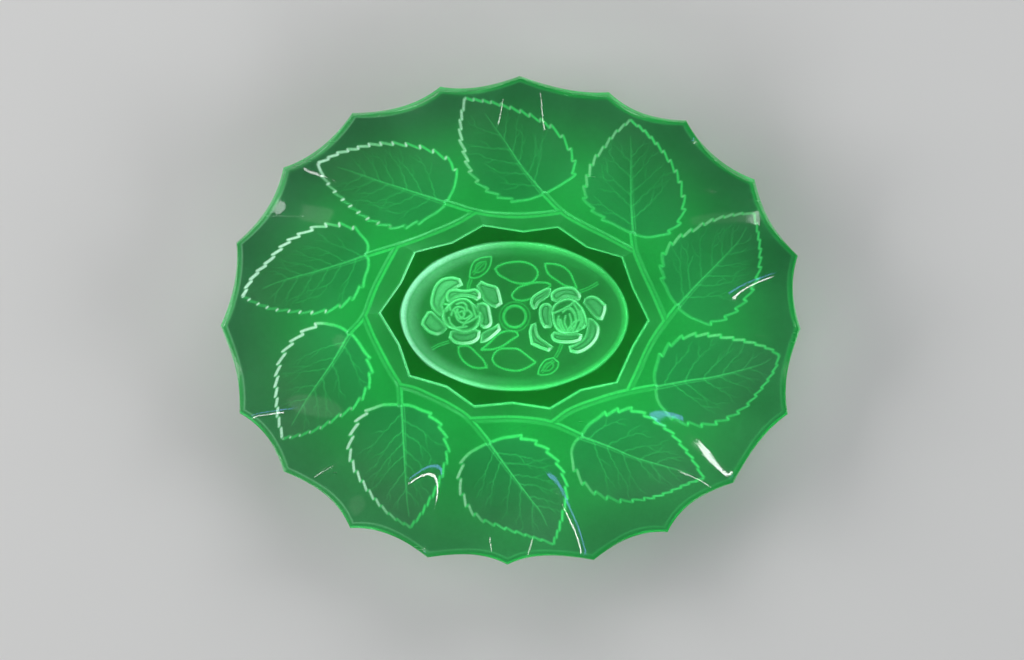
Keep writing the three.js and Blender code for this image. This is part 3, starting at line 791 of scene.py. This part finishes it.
BODY = rgb(0.0064, 0.282, 0.0315)
for co, m in zip(rings, notes):
    x, y = co[:, 0], co[:, 1]
    n, zone = len(co), m["zone"]
    ang = np.arctan2(y - CENTRE[1], x - CENTRE[0])
    rad = np.hypot(x - CENTRE[0], y - CENTRE[1])
    one = np.ones((n, 1))
    # ramps across the dish that set where light and shade are painted unevenly
    left = smooth((-x + 20) / 150)           # 0 on the right to 1 at the far left
    low = smooth((-y + 40) / 120)            # 0 at the top to 1 at the bottom
    tint = one * BODY
    if zone == "recess":
        p, c = take(petal, x, y), take(crease_shade, x, y)
        left_edge = np.clip(-np.cos(ang) * 1.05, 0, 1)
        right_edge = np.clip(np.cos(ang), 0, 1) ** 1.5
        # the recess's painted glow: brighter on petals, lines, sprigs, lips and folds, painted shade in the creases,
        # and a painted white highlight on lips facing right
        g = mix(one * E_BETWEEN, one * E_PETAL, p * (0.06 + 0.94 * take(petal_glow, x, y)))
        g = g + take(line_r, x, y)[:, None] * E_SPRIG * 0.16
        g = mix(g, one * E_SPRIG, np.clip(0.92 * take(sprig_f, x, y), 0, 1))
        g = mix(g, one * E_CREASE_SHADE, np.clip(0.85 * c, 0, 1))
        g = mix(g, one * E_LIP, np.clip(0.92 * take(lip_f, x, y), 0, 1))
        g = mix(g, one * E_LIP, np.clip(0.90 * take(fold_f, x, y) ** 1.5, 0, 1))
        g = mix(g, one * E_PAINTED_HIGHLIGHT, np.clip(0.95 * take(lip_highlight_f, x, y), 0, 1))
        # near the border the glow gets a painted highlight: grey-white on the left side, green and dimmer on the right
        near = smooth((m["r"] / med[m["k"]] - 0.86) / 0.14)
        g = g + near[:, None] * mix(one * rgb(0.022, 0.12, 0.045) * (1 - 0.75 * right_edge[:, None]), one * rgb(0.16, 0.24, 0.20), left_edge)
        s = 1.0
    elif zone == "border":
        q = m["turn"] / (math.pi / 2)
        # painted highlight on the rounded border: white-grey where it faces left, brighter green at the bottom and top,
        # strongest partway round the curve
        facing_left = np.clip(-np.cos(ang) * 1.05, 0, 1) ** 1.1
        facing_low = np.clip(-np.sin(ang), 0, 1)
        facing_top = np.clip(np.sin(ang), 0, 1)
        border_highlight = rgb(0.050, 0.38, 0.100) * one
        border_highlight = mix(border_highlight, one * rgb(0.130, 0.56, 0.210), facing_top)
        border_highlight = mix(border_highlight, one * rgb(0.110, 0.64, 0.210), facing_low)
        border_highlight = mix(border_highlight, one * rgb(0.720, 0.800, 0.840), facing_left)
        b = math.exp(-((q - 0.66) / 0.46) ** 4)
        g = mix(one * rgb(0.050, 0.24, 0.090), border_highlight, np.full(n, b))
        s = 1.0
    elif zone == "foot":
        # the clear foot's faint glow, painted brighter towards the bottom
        g = one * E_FOOT * (1 + 0.8 * low[:, None])
        tint = one * T_FOOT
        s = 0.0
    elif zone == "step":
        # a painted highlight along the step, brighter towards the bottom
        b = math.exp(-((m["s"] - 0.45) / 0.30) ** 2)
        g = mix(one * rgb(0.010, 0.11, 0.030), one * rgb(0.050, 0.36, 0.110) * (1 + 0.7 * low[:, None]), np.full(n, b))
        s = smooth((m["s"] - 0.1) / 0.3)
    elif zone in ("collar", "flange"):
        t = (rad - ring_soft[m["k"]]) / (rim_soft[m["k"]] - ring_soft[m["k"]])
        t = np.clip(t, 0, 1)
        f_in = smooth((take(leaf_in, x, y) + 0.3) / 0.8)
        # painted shade: towards the rim the glow dims, and goes greyer on the left and upper side
        far = mix(one * E_FAR, one * E_FAR_LEFT_SHADE, np.clip(left + 0.45 * smooth((y - 30) / 90), 0, 1))
        g = mix(E_NEAR * one, far, smooth((t - 0.04) / 0.82))
        tint = mix(one * BODY, one * T_FAR, smooth((t - 0.2) / 0.8))
        if zone == "collar":
            g = mix(E_COLLAR * one, E_NEAR * one, np.full(n, smooth((m["s"] - 0.75) / 0.25)))
        # painted light, brighter towards the bottom of the dish
        g = g * (1 + 0.22 * low[:, None]) + (low * smooth((t - 0.25) / 0.6))[:, None] * rgb(0.022, 0.075, 0.030)
        # painted shade inside the leaves: their glow turns less green and greyer
        g = mix(g, g * rgb(1.60, 0.50, 1.15), f_in)
        # painted light along the pattern: glowing lines, veins and midribs, bright green edges that are brightest where
        # they face right and up, and a painted white highlight on edges facing left, strongest on the left of the dish
        ln = take(line_f, x, y) * (1 - take(edge_f, x, y))
        ed, le = take(edge_f, x, y), take(left_highlight_f, x, y)
        power = (0.60 + 0.40 * (1 - t)) * (0.72 + 0.28 * low)
        g = g + (ln * power)[:, None] * rgb(0.060, 0.42, 0.120)
        g = g + (take(vein_f, x, y) * power * (0.45 + 0.55 * (1 - t)))[:, None] * rgb(0.040, 0.300, 0.090)
        g = g + (take(mid_f, x, y) * power)[:, None] * rgb(0.080, 0.480, 0.150)
        facing = np.clip(0.62 + 0.38 * take(right_up, x, y), 0, 1)
        g = mix(g, one * rgb(0.100, 0.82, 0.230), np.clip(1.15 * np.clip(ed, 0, 1) ** (0.55 + 0.9 * t) * power * facing, 0, 1))
        g = mix(g, one * rgb(1.05, 0.78, 0.92), np.clip(1.6 * le ** 1.3 * (0.16 + 0.84 * left) * smooth((t - 0.10) / 0.3), 0, 1))
        if zone == "flange":
            # along the rim the glow is deepened, and a painted highlight line runs at its inner edge, pale grey on the
            # left
            d = (1 - m["s"]) * (r_in - r_ring)[m["k"]] + 1.0
            g = mix(g, one * rgb(0.012, 0.13, 0.035), 0.6 * smooth((2.8 - d) / 0.6))
            g = g + np.exp(-((d - 2.8) / 0.45) ** 2)[:, None] * mix(one * rgb(0.03, 0.14, 0.05), one * rgb(0.22, 0.22, 0.20), left)
        s = 1.0
    elif zone == "rim":
        # the rim edge glows, with a painted pale sheen towards the left
        g = mix(one * rgb(0.005, 0.12, 0.022), one * rgb(0.040, 0.15, 0.060), 0.7 * left)
        tint = one * rgb(0.024, 0.46, 0.085)
        s = 0.35
    else:
        # the upper face glows faintly (painted glow), and the haze adds a painted grey sheen besides its roughness
        h = take(haze_and_sheen, x, y)
        t = np.clip((rad - ring_soft[m["k"]]) / (rim_soft[m["k"]] - ring_soft[m["k"]]), -0.3, 1)
        body = smooth((t + 0.3) / 0.4) * (1 - 0.6 * smooth((t - 0.1) / 0.8))
        g = mix(one * rgb(0.0006, 0.009, 0.0014), one * rgb(0.0016, 0.030, 0.0050), body) + h[:, None] * rgb(0.030, 0.034, 0.030)
        tint = one * T_FACE
        s = 0.30 * h
    PAINTED_GLOW.append(g); TINT.append(tint); GRAIN.append(np.full(n, float(s)) if np.isscalar(s) else s)
PAINTED_GLOW = np.vstack(PAINTED_GLOW + [PAINTED_GLOW[0][:1], PAINTED_GLOW[-1][:1]])
TINT = np.vstack(TINT + [TINT[0][:1], TINT[-1][:1]])
GRAIN = np.concatenate(GRAIN + [GRAIN[0][:1], GRAIN[-1][:1]])

# ------------------------------------------------------------------ the mesh
mesh = bpy.data.meshes.new("glass_dish")
nv, nq, nt = len(verts), len(quads), len(tris)
mesh.vertices.add(nv)
mesh.vertices.foreach_set("co", (verts / 1000.0).astype(np.float32).ravel())
mesh.loops.add(4 * nq + 3 * nt)
loops = np.concatenate([quads.ravel(), tris.ravel()]).astype(np.int32)
mesh.loops.foreach_set("vertex_index", loops)
mesh.polygons.add(nq + nt)
mesh.polygons.foreach_set("loop_start", np.concatenate([4 * np.arange(nq), 4 * nq + 3 * np.arange(nt)]).astype(np.int32))
mesh.update(calc_edges=True)
mesh.validate(verbose=False)
mesh.polygons.foreach_set("use_smooth", np.ones(nq + nt, bool))


def put(name, kind, values):
    a = mesh.attributes.new(name, kind, "POINT")
    a.data.foreach_set("color" if kind == "FLOAT_COLOR" else "value", values.astype(np.float32).ravel())


put("PaintedGlow", "FLOAT_COLOR", np.hstack([np.clip(PAINTED_GLOW, 0, 4), np.ones((nv, 1))]))
put("Tint", "FLOAT_COLOR", np.hstack([np.clip(TINT, 0, 1), np.ones((nv, 1))]))
put("Grain", "FLOAT", GRAIN)

# one flat map: the underside, the upper face, and the rim in four strips
part = np.concatenate([np.repeat(quad_part, 4), np.repeat(tri_part, 3)])
uv = np.zeros((len(loops), 2))
px, py = verts[loops, 0], verts[loops, 1]
SU, ST = 0.00208, 0.00140
uv[:, 0] = 0.004 + (px + 157.5) * SU
uv[:, 1] = 0.004 + (py + 137.5) * SU
top = part == 2
uv[top, 0] = 0.004 + (px[top] + 157.5) * ST
uv[top, 1] = 0.590 + (py[top] + 137.5) * ST
rim = part == 1
ring_of = np.searchsorted(offsets, loops[rim], side="right") - 1
col = (loops[rim] - offsets[ring_of]) / FINE
# a face that closes the ring runs on past the end
face_of = np.concatenate([np.repeat(np.arange(nq), 4), np.repeat(nq + np.arange(nt), 3)])[rim]
low_col = np.full(nq + nt, 9.0)
np.minimum.at(low_col, face_of, col)
high_col = np.full(nq + nt, -9.0)
np.maximum.at(high_col, face_of, col)
wraps = (high_col - low_col)[face_of] > 0.5
col = np.where(wraps & (col < 0.5), col + 1.0, col)
centre_col = np.where((high_col - low_col) > 0.5, 1 - 1e-4, low_col + 1e-6)[face_of]
strip = np.clip((centre_col * 4).astype(int), 0, 3)
uv[rim, 0] = 0.70 + 0.05 * strip + (ring_of - UNDER_END) / (TOP_START - UNDER_END) * 0.030
uv[rim, 1] = 0.01 + (col * 4 - strip) * 0.97
layer = mesh.uv_layers.new(name="OFBake")
layer.data.foreach_set("uv", uv.astype(np.float32).ravel())
dish = bpy.data.objects.new("glass_dish", mesh)
bpy.context.scene.collection.objects.link(dish)

# -------------------------------------------------------------- the material
mat = bpy.data.materials.new("uranium_glass")
mat.use_nodes = True
nt_ = mat.node_tree
N, Lk = nt_.nodes, nt_.links
N.clear()
out = N.new("ShaderNodeOutputMaterial")
bsdf = N.new("ShaderNodeBsdfPrincipled")
Lk.new(bsdf.outputs[0], out.inputs["Surface"])
bsdf.inputs["IOR"].default_value = 1.5
bsdf.inputs["Transmission Weight"].default_value = 0.97
bsdf.inputs["Emission Strength"].default_value = 1.0


def node(kind, **values):
    n = N.new(kind)
    for key, v in values.items():
        if key in n.inputs:
            n.inputs[key].default_value = v
        else:
            setattr(n, key, v)
    return n


def attr(name):
    n = N.new("ShaderNodeAttribute")
    n.attribute_name = name
    return n


place = N.new("ShaderNodeTexCoord").outputs["Object"]
painted_glow, tint_n, grain = attr("PaintedGlow"), attr("Tint"), attr("Grain")


def noise(scale, detail=3.0, rough=0.55, stretch=None):
    n = node("ShaderNodeTexNoise", Scale=scale, Detail=detail, Roughness=rough)
    if stretch:
        m = N.new("ShaderNodeMapping")
        m.inputs["Scale"].default_value = stretch[:3]
        m.inputs["Rotation"].default_value = stretch[3:]
        Lk.new(place, m.inputs["Vector"])
        Lk.new(m.outputs[0], n.inputs["Vector"])
    else:
        Lk.new(place, n.inputs["Vector"])
    return n.outputs["Fac"]


def remap(src, a, b, c, d, kind="SMOOTHSTEP"):
    n = node("ShaderNodeMapRange")
    n.interpolation_type = kind
    for key, v in (("From Min", a), ("From Max", b), ("To Min", c), ("To Max", d)):
        n.inputs[key].default_value = v
    Lk.new(src, n.inputs["Value"])
    return n.outputs["Result"]


def maths(op, a, b=None, c=None):
    n = node("ShaderNodeMath")
    n.operation = op
    for i, v in enumerate((a, b, c)):
        if v is None:
            continue
        if isinstance(v, (int, float)):
            n.inputs[i].default_value = v
        else:
            Lk.new(v, n.inputs[i])
    return n.outputs[0]


def times(colour, factor):
    n = node("ShaderNodeMix")
    n.data_type = "RGBA"
    n.blend_type = "MULTIPLY"
    n.inputs["Factor"].default_value = 1.0
    Lk.new(colour, n.inputs["A"])
    Lk.new(factor, n.inputs["B"])
    return n.outputs["Result"]


# the painted glow is slightly cloudy, as the satin is, with a fine grain in it
cloud = remap(noise(26.0, 4.0), 0.30, 0.72, 0.86, 1.14)
speck = remap(noise(900.0, 3.0, 0.7), 0.30, 0.70, 0.84, 1.16)
mottle = maths("MULTIPLY", cloud, speck)
# the painted glow, with its painted highlights and shade, goes out as emission
Lk.new(times(painted_glow.outputs["Color"], mottle), bsdf.inputs["Emission Color"])
Lk.new(times(tint_n.outputs["Color"], remap(noise(14.0, 2.0), 0.3, 0.7, 0.90, 1.08)), bsdf.inputs["Base Color"])

# satin below, fire polish above, with handling smears and fine scratches
smear = remap(noise(34.0, 3.0, 0.6, (1.0, 2.6, 1.0, 0.3, 0.2, 0.9)), 0.52, 0.78, 0.0, 0.10)
scratch = remap(noise(240.0, 1.0, 0.4, (0.06, 3.2, 1.0, 0.0, 0.0, 0.7)), 0.715, 0.745, 0.0, 0.18)
polish = maths("ADD", maths("ADD", smear, scratch), 0.035)
satin = remap(noise(320.0, 2.0), 0.3, 0.7, 0.36, 0.50)
mixr = node("ShaderNodeMix")
Lk.new(grain.outputs["Fac"], mixr.inputs["Factor"])
Lk.new(polish, mixr.inputs["A"])
Lk.new(satin, mixr.inputs["B"])
Lk.new(mixr.outputs["Result"], bsdf.inputs["Roughness"])
bump = node("ShaderNodeBump", Strength=0.35, Distance=0.00012)
Lk.new(maths("MULTIPLY", noise(1500.0, 2.0, 0.6), grain.outputs["Fac"]), bump.inputs["Height"])
Lk.new(bump.outputs[0], bsdf.inputs["Normal"])
mesh.materials.append(mat)

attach(dish, "root")
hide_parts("dish")

# ------------------------------------------------------- floor, light, camera
bpy.ops.mesh.primitive_plane_add(size=5, location=(0, 0, -0.0003))
floor = bpy.context.object
floor.name = "floor"
fm = bpy.data.materials.new("floor_paper")
fm.use_nodes = True
fb = fm.node_tree.nodes["Principled BSDF"]
fb.inputs["Base Color"].default_value = (0.72, 0.72, 0.71, 1)
fb.inputs["Roughness"].default_value = 0.9
floor.data.materials.append(fm)

world = bpy.data.worlds.new("studio")
bpy.context.scene.world = world
world.use_nodes = True
bg = world.node_tree.nodes["Background"]
bg.inputs["Color"].default_value = (0.93, 0.96, 1.0, 1)
# pale towards the horizon and dark overhead
wn, wl = world.node_tree.nodes, world.node_tree.links
way, axis, ramp = wn.new("ShaderNodeTexCoord"), wn.new("ShaderNodeSeparateXYZ"), wn.new("ShaderNodeMapRange")
ramp.interpolation_type = "SMOOTHSTEP"
for key, v in (("From Min", 0.12), ("From Max", 0.44), ("To Min", 0.50), ("To Max", 0.045)):
    ramp.inputs[key].default_value = v
wl.new(way.outputs["Generated"], axis.inputs[0])
wl.new(axis.outputs["Z"], ramp.inputs["Value"])
wl.new(ramp.outputs["Result"], bg.inputs["Strength"])


def lamp(name, at, target, size, watts, colour=(1, 1, 1), roll=0.0):
    d = bpy.data.lights.new(name, "AREA")
    d.shape = "RECTANGLE"
    d.size, d.size_y = size
    d.energy = watts
    d.color = colour
    o = bpy.data.objects.new(name, d)
    bpy.context.scene.collection.objects.link(o)
    o.location = at
    aim = (Vector(target) - Vector(at)).to_track_quat("-Z", "Y")
    o.rotation_mode = "QUATERNION"
    o.rotation_quaternion = aim @ Matrix.Rotation(roll, 3, "Z").to_quaternion()
    return o


def soft(name, azimuth, elevation, distance, size, watts, colour=(1, 1, 1)):
    """A soft panel that faces the dish from an azimuth and an elevation in degrees."""
    a, e = math.radians(azimuth), math.radians(elevation)
    at = (distance * math.cos(e) * math.cos(a), distance * math.cos(e) * math.sin(a), distance * math.sin(e))
    return lamp(name, at, (0, 0, 0), size, watts, colour)


# four wide panels stand low round the dish, so that its face mirrors a dark ceiling
soft("panel_left", 168, 19, 2.7, (2.4, 0.80), 58.0, (1.0, 0.99, 0.97))
soft("panel_back", 82, 20, 2.7, (2.4, 0.80), 44.0, (1.0, 1.0, 1.0))
soft("panel_right", -8, 19, 2.7, (2.2, 0.80), 35.0, (0.97, 0.99, 1.0))
soft("panel_front", -100, 18, 2.7, (2.2, 0.70), 29.0, (0.97, 0.99, 1.0))


def strip(name, p, q, width, radiance, colour=(1, 1, 1), distance=1.5):
    """A narrow strip of light high over the dish, between two horizontal directions p and q."""
    ends = [Vector((c[0], c[1], math.sqrt(1 - c[0] ** 2 - c[1] ** 2))) * distance for c in (p, q)]
    mid = (ends[0] + ends[1]) / 2
    run = ends[1] - ends[0]
    o = lamp(name, mid, (0, 0, 0), (run.length, width * distance), radiance * math.pi * run.length * width * distance, colour)
    z = mid.normalized()
    x = (run - run.dot(z) * z).normalized()
    o.rotation_quaternion = Matrix((x, z.cross(x), z)).transposed().to_quaternion()
    return o


strip("strip_white", (-0.28, 0.16), (-0.11, 0.33), 0.016, 22.0)
strip("strip_blue", (-0.235, 0.125), (-0.075, 0.285), 0.018, 9.0, (0.22, 0.30, 1.0))
strip("spot_right", (-0.56, -0.22), (-0.47, -0.38), 0.020, 12.0)
strip("spot_left", (0.60, -0.24), (0.58, -0.32), 0.020, 12.0)

cam = bpy.data.cameras.new("camera")
cam.lens, cam.sensor_width = 70.79, 36.0
eye = bpy.data.objects.new("camera", cam)
bpy.context.scene.collection.objects.link(eye)
right = Vector((0.99816252, 0.03121478, 0.05193483))
up = Vector((-0.01724873, 0.96801448, -0.25030071))
ahead = Vector((0.05808675, -0.24894498, -0.96677419))
eye.matrix_world = Matrix((
    (right.x, up.x, -ahead.x, -0.063066),
    (right.y, up.y, -ahead.y, 0.270225),
    (right.z, up.z, -ahead.z, 1.074411),
    (0, 0, 0, 1)))
bpy.context.scene.camera = eye
bpy.context.scene.view_settings.view_transform = "Standard"
